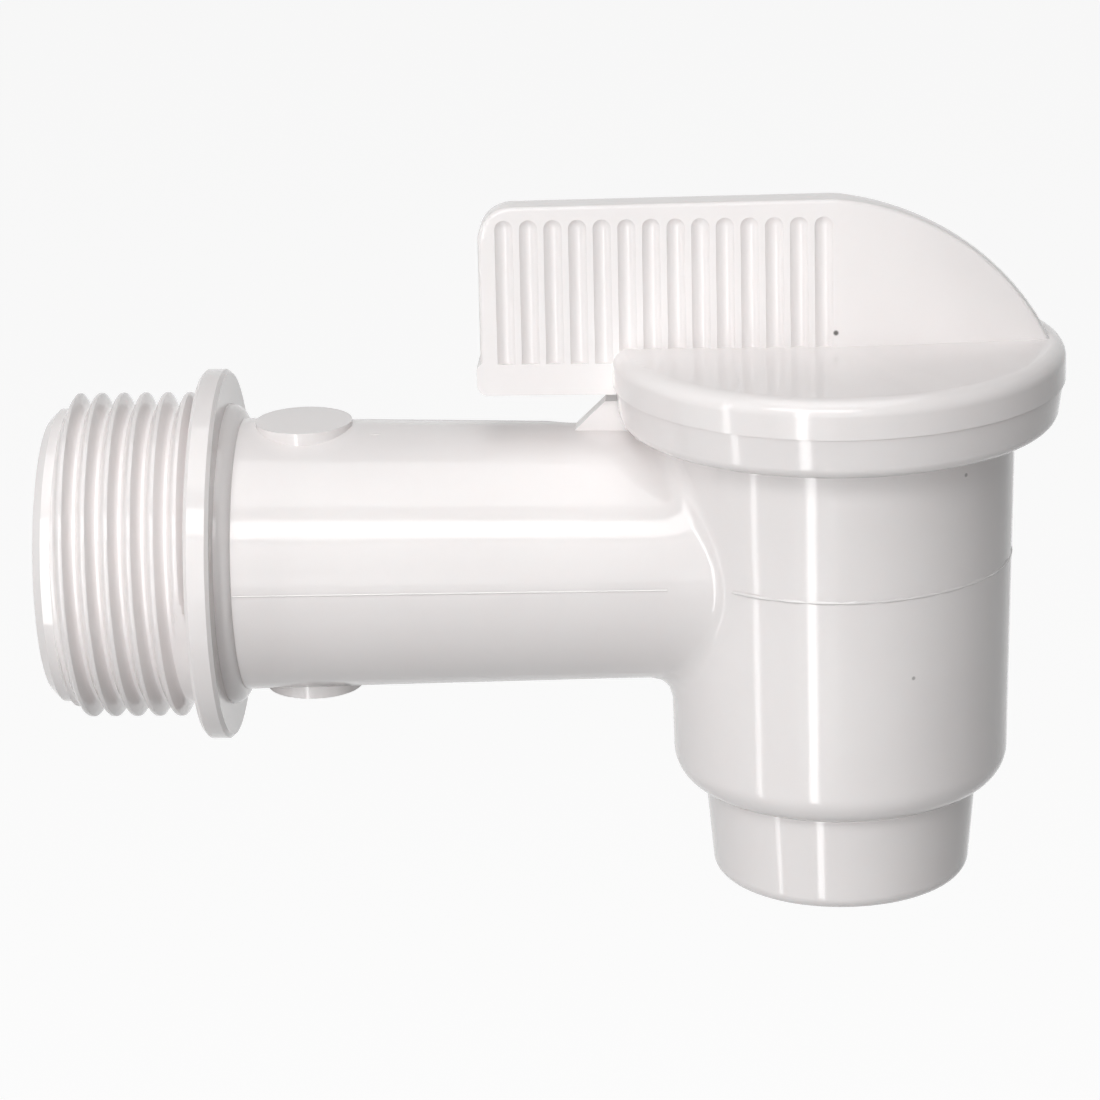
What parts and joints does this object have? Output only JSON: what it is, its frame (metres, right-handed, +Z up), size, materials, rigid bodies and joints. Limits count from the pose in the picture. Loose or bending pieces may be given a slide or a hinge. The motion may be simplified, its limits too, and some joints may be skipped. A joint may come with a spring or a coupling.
{
  "type": "barrel tap",
  "caption": "White plastic ball tap for a barrel: threaded, flanged inlet tube, upright valve barrel with a spout below, and a fluted blade handle on a round cap.",
  "frame": {"origin": "centre of the flange face that seals on the barrel, on the axis of the inlet", "axes": "+X along the inlet tube towards the valve, +Z up along the valve axis and out of the handle, +Y completes the right-handed frame"},
  "size_m": [0.0818, 0.036, 0.0566],
  "materials": {
    "body_plastic": "glossy white moulding",
    "handle_plastic": "glossy white moulding",
    "ball_plastic": "smooth white",
    "seat_plastic": "waxy off-white",
    "seal_rubber": "matt black"
  },
  "bodies": {
    "body": {"tap_body": "body_plastic", "inlet_seat": "seat_plastic", "outlet_seat": "seat_plastic"},
    "handle": {"handle": "handle_plastic", "ball": "ball_plastic", "stem_seal": "seal_rubber"}
  },
  "joints": [
    {"name": "handle_turn", "type": "hinge", "parent": "body", "child": "handle", "pos_m": [0.0513, 0, 0], "axis": [0, 0, 1], "range_deg": [0, 90]}
  ]
}
